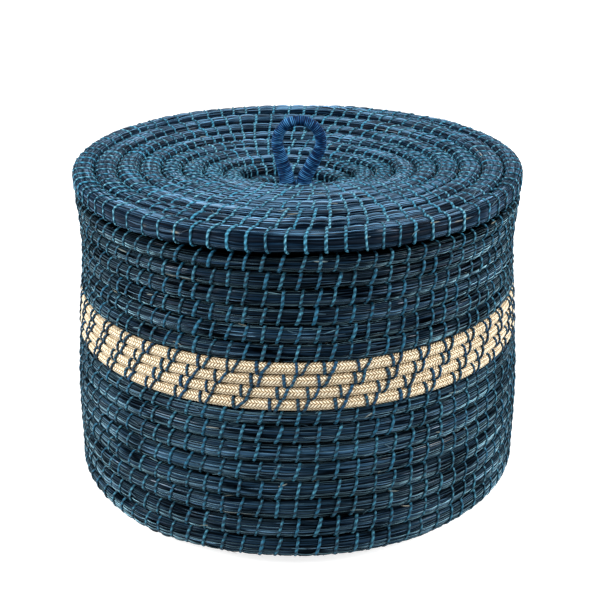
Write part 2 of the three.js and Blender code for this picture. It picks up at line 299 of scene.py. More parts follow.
def level_end(turns, places, heights, limit, least):
    """Lets the last turn fill what is left up to a limit, and cuts it off below a least height."""
    last = np.arange(len(places) - STEPS, len(places))
    below = places[last - STEPS] + heights[last - STEPS] / 2
    heights[last] = limit - below
    places[last] = below + heights[last] / 2
    kept = np.append(np.full(len(places) - STEPS, True), limit - below >= least)
    return turns[kept], places[kept], heights[kept]


line, line_length = wall_line()
on_side = line[:, 1] > PROFILE[0][1]
band_foot_length = np.interp(BAND_FOOT, line[on_side, 1], line_length[on_side])
rim_length = line_length[-1]
WALL_FROM = -(FLOOR_ROUNDS + LOWER_ROUNDS)
WALL_TO = JUTE_ROUNDS + UPPER_ROUNDS + 1 + (RIM_STOP - WALL_START) / math.tau


def wind_wall(floor_round, upper_round):
    """The wall's winding from the middle of the floor, for two heights of round, moved along the
    line until the band's lower edge is at its height in front."""
    first = WALL_FROM * STEPS
    t = np.arange(first, round(WALL_TO * STEPS) + 1) / STEPS
    grown = BELT_ROUND + (FOOT_ROUND - BELT_ROUND) * np.clip((-1 - t) / GROWING_ROUNDS, 0, 1)
    swelled = np.clip((t - JUTE_ROUNDS) / SWELL_TURN, 0, 1)
    heights = JUTE_ROUND + (upper_round - JUTE_ROUND) * swelled
    heights = np.where(t < 0, BELT_ROUND + (JUTE_ROUND - BELT_ROUND) * (t + 1), heights)
    heights = np.where(t < -1, grown, heights)
    heights = np.where(t < -LOWER_ROUNDS, floor_round, heights)
    start = FLOOR_START + (floor_round - FLOOR_START) * (t - WALL_FROM)
    heights = np.where(t < WALL_FROM + 1, start, heights)
    turns, places = wind(first, heights, even_growth)
    front = STEPS // 2 - first
    places += band_foot_length + JUTE_ROUND / 2 - places[front]
    return turns, places, heights


def solve(measure):
    """The height of a round that makes a measure zero, where the measure changes evenly."""
    at_none = measure(0)
    return -at_none * WALL_DEPTH / (measure(WALL_DEPTH) - at_none)


def floor_left(height):
    """Length left free in the middle of the floor."""
    _, places, heights = wind_wall(height, BELT_ROUND)
    return places[0] - heights[0] / 2 - FLOOR_MIDDLE


floor_round = solve(floor_left)


def rim_over(height):
    """Length by which the round below the last turn's end passes the rim."""
    _, places, heights = wind_wall(floor_round, height)
    return places[-1 - STEPS] + heights[-1 - STEPS] / 2 - rim_length


upper_round = solve(rim_over)
wall_turns, wall_places, wall_heights = level_end(
    *wind_wall(floor_round, upper_round), rim_length, RIM_END
)
WALL_END = wall_turns[-1]


def thinned(height):
    """Share of a bundle's depth that is left where its height runs out: a square root."""
    return np.sqrt(np.clip(height / FULL_HEIGHT, LEAST_DEPTH, 1))


SECTION_POWER = 0.85  # below 1, a bundle's section is fuller than an ellipse


def wall_at(t, depth=WALL_DEPTH):
    """Middle, directions, height, depth, angle and section of the wall's bundle at turns t."""
    s = np.interp(t, wall_turns, wall_places)
    height = np.interp(t, wall_turns, wall_heights) - ROUND_GAP
    (radius, z), ahead, behind = (
        np.stack([np.interp(s + way, line_length, line[:, k]) for k in (0, 1)])
        for way in (0, TANGENT_REACH, -TANGENT_REACH)
    )
    up = (ahead - behind) / np.hypot(*(ahead - behind))
    out = np.stack([up[1], -up[0]])
    drop = RIM_DROP * np.clip((t - WALL_END + 1) / SWELL_TURN, 0, 1)
    height = height - drop
    radius = radius + out[0] * (WALL_DEPTH - depth) / 2 - up[0] * drop / 2
    z = z + out[1] * (WALL_DEPTH - depth) / 2 - up[1] * drop / 2
    depth = depth * thinned(height)
    return radius, z, up, out, height, depth, WALL_START + t * math.tau, SECTION_POWER


def on_bundle(at, turn, phi, lift=0.0):
    """Points on the skin of a bundle, lifted off it by a height. Across the bundle the skin is a
    superellipse: half its height by a power of the sine of phi, half its depth by the cosine's."""
    radius, z, up, out, height, depth, angle, power = at(turn)
    sine, cosine = np.sin(phi), np.cos(phi)
    rise = (height / 2 + lift) * np.sign(sine) * abs(sine) ** power
    reach = (depth / 2 + lift) * np.sign(cosine) * abs(cosine) ** power
    r = radius + up[0] * rise + out[0] * reach
    return np.stack([
        r * np.cos(angle), r * np.sin(angle), z + up[1] * rise + out[1] * reach,
    ], -1)


def tube_mesh(name, points, u, v, tone=None):
    """A mesh of tubes from points[tube, along, around], with UV coordinates along and around that
    don't wrap, and flat caps. Where u has no last row, each tube closes on itself instead."""
    tubes, rows, sides = points.shape[:3]
    closed = u.shape[1] == rows + 1
    steps = rows if closed else rows - 1
    k, i, j = np.meshgrid(np.arange(tubes), np.arange(steps), np.arange(sides), indexing="ij")
    k, i, j = k.ravel(), i.ravel(), j.ravel()
    next_i, next_j = (i + 1) % rows, (j + 1) % sides

    def index(row, side):
        return (k * rows + row) * sides + side

    faces = np.stack([
        index(i, j), index(i, next_j), index(next_i, next_j), index(next_i, j),
    ], 1)
    u = np.broadcast_to(u, (tubes, steps + 1, sides + 1))
    v = np.broadcast_to(v, (tubes, steps + 1, sides + 1))
    uv = np.stack([
        np.stack([u[k, i + row, j + side], v[k, i + row, j + side]], 1)
        for row, side in ((0, 0), (0, 1), (1, 1), (1, 0))
    ], 1).reshape(-1, 2)
    loops = faces.ravel()
    starts = np.arange(len(faces)) * 4
    if not closed:
        first = np.arange(sides)[::-1]
        last = (rows - 1) * sides + np.arange(sides)
        base = np.arange(tubes)[:, None] * rows * sides
        caps = np.concatenate([base + first, base + last]).reshape(-1, sides)
        starts = np.append(starts, len(loops) + np.arange(len(caps)) * sides)
        loops = np.append(loops, caps.ravel())
        uv = np.vstack([uv, np.zeros((caps.size, 2))])
    mesh = bpy.data.meshes.new(name)
    mesh.vertices.add(tubes * rows * sides)
    mesh.vertices.foreach_set("co", points.astype(np.float32).ravel())
    mesh.loops.add(len(loops))
    mesh.loops.foreach_set("vertex_index", loops.astype(np.int32))
    mesh.polygons.add(len(starts))
    mesh.polygons.foreach_set("loop_start", starts.astype(np.int32))
    mesh.polygons.foreach_set("use_smooth", np.full(len(starts), True))
    mesh.uv_layers.new(name="skin").data.foreach_set("uv", uv.astype(np.float32).ravel())
    if tone is not None:
        values = np.broadcast_to(tone, points.shape[:3]).astype(np.float32).ravel()
        mesh.attributes.new("tone", "FLOAT", "POINT").data.foreach_set("value", values)
    mesh.update()
    mesh.validate()
    return mesh


def piece(name, mesh, finish, body, slot, *nodes):
    """Puts a mesh into the scene as a piece that rides on a body and stands for CAD nodes."""
    mesh.materials.append(finish)
    made = bpy.data.objects.new(name, mesh)
    scene.collection.objects.link(made)
    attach(made, body)
    if nodes:
        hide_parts(*nodes)
    return made


def smooth_noise(rows, columns, reach):
    """Random numbers, even over about reach rows, with a spread of one."""
    raw = random.normal(size=(rows + 2 * reach, columns))
    kernel = np.hanning(2 * reach + 1)
    kernel /= math.sqrt((kernel**2).sum())
    summed = np.stack([np.convolve(raw[:, c], kernel, "valid") for c in range(columns)], 1)
    return summed[:rows]


STITCH_JITTER = 0.12  # how far a stitch is out of line, as a share of the way to the next


def stitch_turns(start, end, per_turn):
    """Turns of the stitches on a stretch, evenly per_turn of them to a turn, a little out of line."""
    count = int((end - start) * per_turn)
    places = np.arange(count + 1.0)
    places[1:-1] += random.uniform(-STITCH_JITTER, STITCH_JITTER, count - 1)
    return start + (end - start) * places / count


BETWEEN = 4  # samples from one stitch to the next
PINCH = (-0.0004, 0.0, 0.0001, 0.0)  # height of the skin at each of them
LOOSENESS = (0.4, 0.8, 0.9, 0.8)  # and how uneven it is there: the stitch holds it together
GRAIN = 0.0002  # how uneven the skin is from blade to blade
SWELL = 0.0004  # and the bundle as a whole
RIDGE = 0.00025  # half the height of a blade's ridge
FINE_REACH = 100  # degrees to each side of a bundle's outermost line where its skin is finer
GRASS_GIRTH = 0.0063  # way round a bundle for each radian
GROOVE_POWER = 3.6  # how narrow the painted shade in the groove between two rounds is, above a round
SHADE_POWER = 2.6  # and below it, where the next round keeps the light off
FREE_POWER = 1.3  # the same for the lid's painted shadow on the last round's free side
FREE_SHADE = 1.05  # and how dark that painted shadow is
UNDER_POWER = 1.5  # the same for painted shade on an under side
FLOOR_PRESS = 0.001  # height over which what stands on the floor is pressed flat


def pressed(points, over=FLOOR_PRESS):
    """Presses points flat where they would reach the floor: below a height, what is left of it
    shrinks as a power of e."""
    z = points[..., 2]
    points[..., 2] = np.where(z < over, over * np.exp(np.minimum(z - over, 0) / over), z)
    return points


def length_along(at, turn):
    """Length along a bundle's middle at each turn: the sum of two pi times its radius."""
    steps = np.linspace(turn.min(), turn.max(), 3000)
    radius = at(steps)[0] + 0 * steps
    pieces = math.tau * (radius[1:] + radius[:-1]) / 2 * np.diff(steps)
    return np.interp(turn, steps, np.append(0, np.cumsum(pieces)))


def skin_angles(sides, inner_sides):
    """Angles phi round a bundle, as one row: some on its outer side and some on its inner side."""
    outer = np.linspace(-FINE_REACH, FINE_REACH, sides + 1)[:-1]
    inner = np.linspace(FINE_REACH, 360 - FINE_REACH, inner_sides + 1)[:-1]
    return np.radians(np.append(outer, inner))[None, :]


def grass_bundle(name, at, stitches, slants, sides, inner_sides=12, last=math.inf,
                 upper_power=GROOVE_POWER, lower_power=SHADE_POWER, free_side=0.0, under=0.0):
    """A bundle of grass, drawn in along each slanted stitch, with blades as ridges along it. Its
    tone is painted shade where two rounds meet: a power of the sine of phi. The last turn has no
    neighbour on its outer side, where free_side says how dark the lid's painted shadow gets, and
    under says how dark the painted shade on the bundle's inner or under side gets."""
    count = (len(stitches) - 1) * BETWEEN + 1
    where = np.arange(count) / BETWEEN
    turn = np.interp(where, np.arange(len(stitches)), stitches)[:, None]
    slant = np.interp(where, np.arange(len(stitches)), slants)[:, None]
    phi = skin_angles(sides, inner_sides)
    turn = turn + slant * np.sin(phi)
    columns = sides + inner_sides
    uneven = GRAIN * smooth_noise(count, columns, reach=14) + SWELL * smooth_noise(count, 1, reach=9)
    ridge = RIDGE * (-1.0) ** np.arange(columns)
    uneven = uneven + ridge * (0.8 + 0.6 * smooth_noise(count, columns, reach=12))
    lift = np.resize(PINCH, count)[:, None] + np.resize(LOOSENESS, count)[:, None] * uneven
    points = pressed(on_bundle(at, turn, phi, lift))
    length = length_along(at, turn)
    girth = np.append(phi, phi[:, :1] + math.tau, axis=1) * GRASS_GIRTH
    u = np.append(length, length[:, :1], axis=1)
    sine = np.sin(phi) + 0 * turn
    painted_shade = abs(sine) ** np.where(sine < 0, lower_power, upper_power)
    free = (turn > last - 1) & (sine > 0)
    painted_shade = np.where(free, free_side * abs(sine) ** FREE_POWER, painted_shade)
    painted_shade = np.maximum(painted_shade, under * np.clip(-np.cos(phi), 0, 1) ** UNDER_POWER)
    v = np.broadcast_to(girth, u.shape)
    return tube_mesh(name, points[None], u[None], v[None], painted_shade[None])


def skin_place(shade):
    """A place on the skin, and its two parts: how far along the piece and how far round it."""
    skin = shade.node("UVMap", {"uv_map": "skin"})
    along = skin.node("SeparateXYZ", None, {0: skin}, "X")
    around = skin.node("SeparateXYZ", None, {0: skin}, "Y")
    return skin, along, around


def skin_tone(shade):
    """The tone that the mesh holds at each point: painted shade on a bundle of grass or on the band,
    a random tone of its own on a strand, and the height of the turns on a wound cord.
    """
    return shade.node("Attribute", {"attribute_name": "tone"}, output=2)


def blades(skin, scale):
    """Blades as long narrow cells: how far inside its blade a point lies, and a random number
    that each blade has for itself."""
    place = {"Vector": skin.scaled(scale), "Scale": 1.0}
    cells = {"voronoi_dimensions": "2D"}
    edges = cells | {"feature": "DISTANCE_TO_EDGE"}
    inside = skin.node("TexVoronoi", edges, place, "Distance")
    color = skin.node("TexVoronoi", cells, place, "Color")
    own = skin.node("SeparateColor", None, {0: color}, "Red")
    return inside, own


GRASS_TONES = (
    (0.05, (0.0004, 0.0012, 0.003)),
    (0.30, (0.0006, 0.004, 0.010)),
    (0.60, (0.002, 0.014, 0.035)),
    (1.00, (0.060, 0.160, 0.280)),
)
STRAW = (0.24, 0.22, 0.16)
BLADE_CELLS = (11, 640, 1)  # blades to a metre, lengthwise and side by side
THIN_CELLS = (20, 1200, 1)  # and the thin ones on top
BLADE_WANDER = 0.0012  # how far a blade strays sideways


def dress_grass(groove_shade, dark, dye, sheen, spread):
    """Dyed grass: long narrow blades side by side, each with its own tone, painted highlights on the
    edges of blades on top and now and then one that the dye hasn't reached. groove_shade says how
    dark the painted shade is where two rounds meet, dark how dark the painted shade between and under
    the blades is, and dye how light the blades are. Sheen is the color of the blades' gloss at a low
    angle, and spread how wide that gloss is."""
    def dress(shade, shader):
        skin, along, across = skin_place(shade)
        wander = skin.noise((22, 120, 1), 1) - 0.5
        bent = skin.node("CombineXYZ", None, {"X": along, "Y": across + wander * BLADE_WANDER})
        inside, own = blades(bent, BLADE_CELLS)
        thin_inside, thin_own = blades(bent, THIN_CELLS)
        fine = bent.noise((60, 3000, 1), 1)
        painted_shade = skin_tone(shade)
        body = (own * 0.34 + 0.42) * (fine * 0.8 + 0.6)
        # Thin lines on the edges of the blades on top: lighter as a painted highlight, glossier
        # through the coat and raised in the relief.
        edge = (thin_own * thin_inside.step(0.15, 0.3)).step(0.5, 0.9)
        value = (body + edge * 0.5) * dye
        # Painted shade: the colour is mixed towards a black, unlit shader in the gaps between the
        # blades, under the thin blades on top and where two rounds meet.
        between = (1 - inside.step(0.04, 0.2)) * dark
        beneath = (1 - thin_own.step(0.05, 0.3)) * (dark * 0.6)
        shown = (1 - between) * (1 - beneath) * (1 - painted_shade * groove_shade)
        color = value.ramp(*GRASS_TONES)
        patch = skin.noise((45, 120, 1), 1)
        bare = (thin_own - 0.97).step(0, 0.02) * thin_inside.step(0.1, 0.25) * patch.step(0.55, 0.65)
        relief = inside.step(0, 0.4) + edge * 0.6 + fine * 0.3
        fill(shader, {
            "Base Color": bare.mix(color, (*STRAW, 1)), "Normal": relief.bump(0.9, 0.0006),
            "Roughness": 0.42, "Specular IOR Level": 0.06,
            "Sheen Weight": 1.0, "Sheen Roughness": spread, "Sheen Tint": (*sheen, 1),
            "Coat Weight": edge * 0.6, "Coat Roughness": 0.3,
        })
        lit = Shade(shade.tree, shader.outputs["BSDF"])
        # The black, unlit shader that the painted shade is mixed towards.
        black = {"Base Color": (0, 0, 0, 1), "Roughness": 1.0, "Specular IOR Level": 0.0}
        unlit = shade.node("BsdfPrincipled", None, black)
        both = shade.node("MixShader", None, {0: shown, 1: unlit, 2: lit})
        fill(shade.tree.nodes["Material Output"], {"Surface": both})
    return dress


WALL_SHEEN = (0.44, 0.82, 1)
grass = material("dyed_grass", dress_grass(0.97, 0.9, 0.96, WALL_SHEEN, 0.38))
# The upper wall's grass gets darker tones and a narrower sheen than the lower wall's.
upper_grass = material("darker_upper_grass", dress_grass(0.97, 0.95, 0.84, WALL_SHEEN, 0.34))

TURN_LENGTH = math.tau * (PROFILE[0][0] - WALL_DEPTH / 2)
STITCH_LEAN = 0.0019  # half the way that a stitch leans along the bundle
LEAN_SPREAD = 0.22  # how much the leans differ, as a share of the lean
FLOOR_STITCHES = 34  # to a turn
WALL_STITCHES = 80.1
UPPER_STITCHES = 86.1
FOOT_TOP = -5  # turn at which the foot's piece ends and the rest of the lower wall's begins


def leaning(count, lean=STITCH_LEAN / TURN_LENGTH):
    """A lean for each stitch, no two alike, in the unit of the lean that they are spread about."""
    return lean * random.normal(1, LEAN_SPREAD, count)


courses = {}
for name, start, end, per_turn, sides, finish, node in (
    ("floor_grass", WALL_FROM, -LOWER_ROUNDS, FLOOR_STITCHES, 16, grass, "floor_coil"),
    ("foot_grass", -LOWER_ROUNDS, FOOT_TOP, WALL_STITCHES, 26, grass, "lower_wall_coil"),
    ("lower_wall_grass", FOOT_TOP, 0, WALL_STITCHES, 26, grass, "lower_wall_coil"),
    ("upper_wall_grass", JUTE_ROUNDS, WALL_END, UPPER_STITCHES, 26, upper_grass, "upper_wall_coil"),
):
    stitches = stitch_turns(start, end, per_turn)
    slants = leaning(len(stitches))
    courses[name] = stitches, slants
    mesh = grass_bundle(name, wall_at, stitches, slants, sides, last=WALL_END, free_side=FREE_SHADE)
    piece(name, mesh, finish, "basket", "dyed_grass", node)

# Sewing twine of the wall and floor: two-ply twine dyed teal, one loop right round the bundle at
# each stitch, pulled into the grass.
TWINE_HALF_WIDTH = 0.00115
TWINE_HALF_HEIGHT = 0.0007
TWINE_LIFT = 0.00015  # height of the twine's middle over the grass
TWINE_SUNK = 0.0004  # how much deeper it lies between two rounds
TWINE_SWAY = 0.12  # how crooked a stitch is, as a share of its lean
TWINE_PRESS = 0.0004  # as FLOOR_PRESS, for twine and loose blades
TWINE_GIRTH = 0.038  # way round a loop
TWINE_STEPS = 16  # round the bundle
TWINE_SIDES = 5  # round the twine
SKIN_STEP = 0.001  # a small way off the skin, which tells where its outside is


def unit(vectors):
    """The vectors made one long."""
    return vectors / np.linalg.norm(vectors, axis=-1, keepdims=True)


def ribbon(centre, above, along, width, height, sides):
    """Rings of an ellipse along each line of points, wide across the line and low towards above."""
    normal = unit(above - centre)
    side = unit(np.cross(along, normal))
    angle = np.linspace(0, math.tau, sides, endpoint=False)[:, None]
    wide = side[:, :, None] * width * np.cos(angle)
    return centre[:, :, None] + wide + normal[:, :, None] * height * np.sin(angle)


def strand_mesh(name, points, along, spread):
    """A mesh of strands, each with its own tone and its own start on the material."""
    count, _, sides = points.shape[:3]
    u = along[None, :, None] + random.uniform(0, spread, (count, 1, 1))
    v = np.linspace(0, 1, sides + 1)[None, None, :]
    tone = random.uniform(0, 1, (count, 1, 1))
    return tube_mesh(name, pressed(points, TWINE_PRESS), u + 0 * v, v + 0 * u, tone)


def twine_loops(name, at, stitches, slants, lift=TWINE_LIFT, half_width=TWINE_HALF_WIDTH):
    """Loops of flat twine round a bundle, one at each stitch, sunk into the grass where they pass
    between two rounds."""
    count = len(stitches)
    phi = np.linspace(-math.pi, math.pi, TWINE_STEPS, endpoint=False)[None, :]
    sway = random.normal(0, TWINE_SWAY, (count, 3))
    lean = np.sin(phi) + sway[:, :1] * np.sin(2 * phi) + sway[:, 1:2] * np.cos(phi)
    turn = stitches[:, None] + slants[:, None] * lean
    phi = phi + np.zeros_like(turn)
    lift = lift - TWINE_SUNK * (abs(np.cos(phi)) < 0.3)
    centre = on_bundle(at, turn, phi, lift)
    above = on_bundle(at, turn, phi, lift + SKIN_STEP)
    along = np.roll(centre, -1, axis=1) - np.roll(centre, 1, axis=1)
    width = half_width * random.uniform(0.85, 1.2, count)[:, None, None, None]
    points = ribbon(centre, above, along, width, TWINE_HALF_HEIGHT, TWINE_SIDES)
    round_loop = np.linspace(0, TWINE_GIRTH, TWINE_STEPS + 1)
    return strand_mesh(name, points, round_loop, spread=1)


def dress_twine(twist, dark, middle, light, blue):
    """Twine whose two plies cross as slanted stripes, once in a length of twist, with painted shade
    between the plies and at its edges, each stitch a little lighter or darker than the next, and some
    of them bluer."""
    def dress(shade, shader):
        skin, along, around = skin_place(shade)
        # Painted shade: the stripes darken the twine between its plies, and edge darkens its two
        # sides.
        stripe = shade.math("SINE", (along * (1 / twist) + around) * math.tau) * 0.5 + 0.5
        edge = shade.math("COSINE", around * math.tau) ** 2
        fibre = skin.noise((700, 9, 1), 2)
        tone = skin_tone(shade)
        value = stripe * 0.5 + (fibre - 0.5) * 1.1 + tone * 0.25 - edge * 0.25 + 0.17
        color = value.ramp((0.1, dark), (0.5, middle), (0.95, light))
        dyed = value.ramp((0.1, dark), (0.95, blue))
        hue = shade.math("FRACT", tone * 7 + fibre * 0.7).step(0.4, 0.9)
        height = stripe + fibre * 0.5
        fill(shader, {
            "Base Color": hue.mix(color, dyed), "Normal": height.bump(0.8, 0.0005),
            "Roughness": 0.6, "Specular IOR Level": 0.2,
        })
    return dress


WALL_TWIST = 0.0034
twine = material("teal_twine", dress_twine(
    WALL_TWIST, (0.001, 0.010, 0.020), (0.006, 0.058, 0.100), (0.06, 0.23, 0.32),
    (0.015, 0.14, 0.25),
))
for name, (stitches, slants) in courses.items():
    mesh = twine_loops(name.replace("grass", "twine"), wall_at, stitches[1:-1], slants[1:-1])
    piece(mesh.name, mesh, twine, "basket", "dyed_grass")

# Band: a thinner core of grass plaited over with undyed jute, wound four times round and sewn on
# with navy thread.
PLAIT_ROW = 0.0027  # height of a row of parallel strands
PLAIT_STRAND = 0.0022  # from one strand to the next along the band
PLAIT_LEAN = 0.8  # way along the band for each length across it
PLAIT_DEPTH = 0.0006  # height of a strand over the valleys beside it
PLAIT_SUNK = 0.35  # share of its height that a strand keeps at the row's edges
PLAIT_POWER = 0.6  # below 1, a strand rises steeply from there
PLAIT_STEP = 0.0005  # from one column of points to the next
NARROW_GROOVE = 10  # as GROOVE_POWER, on both sides of a round of the band or the lid
ROWS_BELOW = 400  # an even number that keeps the rows' numbers above zero
BAND_LENGTH = math.tau * 0.16  # once round
BAND_GIRTH = 0.0045  # way round the bundle for each radian
PLAIT_TILT = 0.26  # angle round the bundle at which two rows meet, above its outermost point


def plait(u, v):
    """Height of the plait: rows of slanted strands that lean to and fro, each strand round
    across, and sinking at the row's edges where it goes under."""
    row = v / PLAIT_ROW
    lean = np.where(np.floor(row) % 2 < 1, PLAIT_LEAN, -PLAIT_LEAN)
    across = (u + lean * v) / PLAIT_STRAND
    crest = np.abs(np.sin(math.pi * across))
    rise = np.abs(np.sin(math.pi * row)) ** PLAIT_POWER
    return crest * (PLAIT_SUNK + (1 - PLAIT_SUNK) * rise)


def band_at(t):
    """The wall's bundle where it is the band's thinner core."""
    return wall_at(t, JUTE_DEPTH)


def plaited_band(name, start, end):
    """A stretch of the band, its outer half fine enough to hold the plait."""
    turn = np.arange(start, end, PLAIT_STEP / BAND_LENGTH)[:, None]
    phi = skin_angles(sides=22, inner_sides=6)
    u = turn * BAND_LENGTH + 0 * phi
    v = (phi - PLAIT_TILT) * BAND_GIRTH + 0 * turn + ROWS_BELOW * PLAIT_ROW
    relief = plait(u, v)
    points = on_bundle(band_at, turn + 0 * phi, phi + 0 * turn, PLAIT_DEPTH * (relief - 0.6))
    u = np.append(u, u[:, :1], axis=1)
    v = np.append(v, v[:, :1] + math.tau * BAND_GIRTH, axis=1)
    # Painted shade in the groove between two rounds of the band.
    painted_shade = abs(np.sin(phi + 0 * turn)) ** NARROW_GROOVE
    return tube_mesh(name, points[None], u[None], v[None], painted_shade[None])


def dress_jute(shade, shader):
    """Dry jute in the plait's pattern: cream on the strands' backs, brown between them as painted
    shade, darker as painted shade where two rounds meet, with hair-fine fibres."""
    skin, along, around = skin_place(shade)
    uneven = skin.noise((300, 300, 1), 1) - 0.5
    row = (around + uneven * 0.0010) * (1 / PLAIT_ROW)
    half = shade.math("FRACT", row * 0.5)
    lean = shade.math("GREATER_THAN", half, 0.5) * (-2 * PLAIT_LEAN) + PLAIT_LEAN
    across = (along + uneven * 0.0014 + lean * around) * (math.pi / PLAIT_STRAND)
    crest = shade.math("ABSOLUTE", shade.math("SINE", across))
    rise = shade.math("ABSOLUTE", shade.math("SINE", row * math.pi)) ** PLAIT_POWER
    fibre = skin.noise((1500, 1500, 1), 2) - 0.5
    patch = skin.noise((40, 120, 1), 2) - 0.5
    strand = skin.noise((430, 330, 1), 1) - 0.5
    painted_shade = skin_tone(shade)
    height = crest * (PLAIT_SUNK + (1 - PLAIT_SUNK) * rise)
    value = height + fibre * 0.3 + patch * 0.25 + strand * 0.5 - painted_shade * 0.5
    color = value.ramp(
        (0.20, (0.16, 0.090, 0.040)), (0.42, (0.48, 0.35, 0.20)),
        (0.66, (0.84, 0.69, 0.46)), (0.92, (0.96, 0.88, 0.70)),
    )
    relief = height + fibre * 0.2
    fill(shader, {
        "Base Color": color, "Normal": relief.bump(0.9, 0.0006),
        "Roughness": 0.8, "Specular IOR Level": 0.2,
    })


jute = material("jute_plait", dress_jute)
for turn in range(JUTE_ROUNDS):
    name = f"band_plait_{turn + 1}"
    piece(name, plaited_band(name, turn, turn + 1), jute, "basket", "jute_braid", "jute_band")

# Band's thread: navy, in pairs. One stitch stands almost straight, and its partner leans far to
# the right and up to the next pair above.
PAIRS_PER_TURN = 46 / 1.005  # 46 pairs take a little more than a turn, so each row stands askew
UPRIGHT_LEAN = -0.0004  # half the way that the upright stitch leans, a little to the left
PARTNER_LEAN = 0.0026  # and its partner, to the right
PARTNER_PLACE = 0.0052  # to the right of the upright stitch
pairs = stitch_turns(0, JUTE_ROUNDS, PAIRS_PER_TURN)
upright_slants = leaning(len(pairs), UPRIGHT_LEAN / TURN_LENGTH)
upright = twine_loops(
    "band_upright_thread", band_at, pairs, upright_slants, lift=0.0004, half_width=0.0012
)
partner_pairs = pairs + PARTNER_PLACE / TURN_LENGTH
partner_slants = leaning(len(pairs), PARTNER_LEAN / TURN_LENGTH)
partner = twine_loops(
    "band_leaning_thread", band_at, partner_pairs, partner_slants, lift=0.0007, half_width=0.0011
)
navy_thread = material("navy_thread", dress_twine(
    WALL_TWIST, (0.0008, 0.004, 0.009), (0.004, 0.026, 0.050), (0.025, 0.12, 0.19),
    (0.008, 0.08, 0.18),
))
for mesh in (upright, partner):
    piece(mesh.name, mesh, navy_thread, "basket", "loop_thread")

# Lid: a wider bundle of the same grass, wound into a dished disc ten rounds across. It begins
# tapered beside the eye and ends thinned at the edge, and it is sewn like the wall, with a lighter
# and narrower twine.
LID_RADIUS = 0.16
LID_DEPTH = 0.0154
LID_SECTION = 0.62  # the lid's rounds are pulled flatter than the wall's
LID_EDGE_ROUND = 0.016  # width of the outermost round
LID_ROUNDS = 10
EYE_RADIUS = 0.0125  # of the hole that the loop comes up through
LID_END = 0.003  # least width of the bundle's outer end
LID_HOLLOW = 0.020  # how far the eye lies below the edge
HOLLOW_POWER = 1.7  # above 1, the lid falls more steeply near the eye
LID_WARP = 0.006  # how much higher the near half stands inside the mouth
STEADY_GROWTH = 0.25  # share of a round that a turn gains evenly
STEP_TURN = 1 / 3  # last part of a turn, in which it gains the rest
TAPER_STEPS = 7  # steps of the tapered beginning beside the eye
TAPER_STITCHES = 15  # to a turn
LID_START = WALL_START + 3 / STEPS * math.tau
LID_START_THIN = 0.58  # the bundle starts this much thinner at the eye
LID_FULL_TURN = 2.2  # and is full after these turns
LID_SEAT = PROFILE[-1][1]
MOUTH_RADIUS = PROFILE[-1][0] - WALL_DEPTH


def lid_growth(part):
    """Share of a round gained by a part of a turn: a quarter evenly, the rest in the last third."""
    step = np.clip((part - (1 - STEP_TURN)) / STEP_TURN, 0, 1)
    return STEADY_GROWTH * part + (1 - STEADY_GROWTH) * step * step * (3 - 2 * step)


def wind_lid():
    """The lid's winding. Before its first turn comes the bundle's tapered beginning, which fills
    the step that the end of that turn leaves beside the eye."""
    eye_round = 2 * (LID_RADIUS - EYE_RADIUS) / LID_ROUNDS - LID_EDGE_ROUND
    t = np.arange(LID_ROUNDS * STEPS + 1) / STEPS
    share = np.clip(t / (LID_ROUNDS - 1), 0, 1)
    widths = eye_round + (LID_EDGE_ROUND - eye_round) * share
    turns, places = wind(0, widths, lid_growth)
    edge = (LID_ROUNDS - 1) * STEPS
    places += LID_RADIUS - places[edge] - widths[edge] / 2
    turns, places, widths = level_end(turns, places, widths, LID_RADIUS, LID_END)
    before = np.arange(-TAPER_STEPS, 0)
    eye = places[0] - widths[0] / 2
    taper = places[before + STEPS] - widths[before + STEPS] / 2 - eye
    turns = np.append(before / STEPS, turns)
    return turns, np.append(eye + taper / 2, places), np.append(taper, widths)


lid_turns, lid_places, lid_widths = wind_lid()


def lid_middle(radius, angle):
    """Height of the middle of the lid's bundle: it falls towards the eye by a power of the
    distance from the edge, and inside the mouth its near half stands a little higher."""
    hollow = LID_HOLLOW * (1 - np.minimum(1, radius / LID_RADIUS)) ** HOLLOW_POWER
    inside = np.minimum(1, radius / MOUTH_RADIUS)
    warp = LID_WARP * 4 * inside * (1 - inside) * -np.sin(angle)
    return LID_SEAT + LID_DEPTH / 2 - hollow + warp


def lid_at(t):
    """Middle, directions, width, depth, angle and section of the lid's bundle at turns t."""
    radius = np.interp(t, lid_turns, lid_places)
    width = np.interp(t, lid_turns, lid_widths) - ROUND_GAP
    angle = LID_START + t * math.tau
    none, one = 0 * radius, 0 * radius + 1
    up, out = np.stack([one, none]), np.stack([none, one])
    thin = LID_DEPTH * LID_START_THIN * np.clip(1 - t / LID_FULL_TURN, 0, 1)
    raised = RIM_DROP * np.clip((t - lid_turns[-1] + 1) / SWELL_TURN, 0, 1)
    depth = (LID_DEPTH - thin - raised) * thinned(width / 2)
    z = lid_middle(radius, angle) - thin / 2 + raised / 2
    return radius, z, up, out, width, depth, angle, LID_SECTION


LID_STITCH = 0.0120  # from one stitch to the next at the edge
EYE_STITCH = 0.0075  # and at the eye
LID_TWIST = 0.0027
LID_TWINE_HALF_WIDTH = 0.0010
LEAST_GAP = 0.65  # share of the spacing below which a stitch of the inner round is passed over
MOST_GAP = 1.3  # and above which one more comes between
EXTRA_GAP = 0.8  # and the gap that it gets, as a share of the spacing
LINE_PULL = 0.5  # how much the inner stitch counts against the even spacing
LID_JITTER = 0.06  # how far a stitch of the lid is out of line, as a share of the spacing


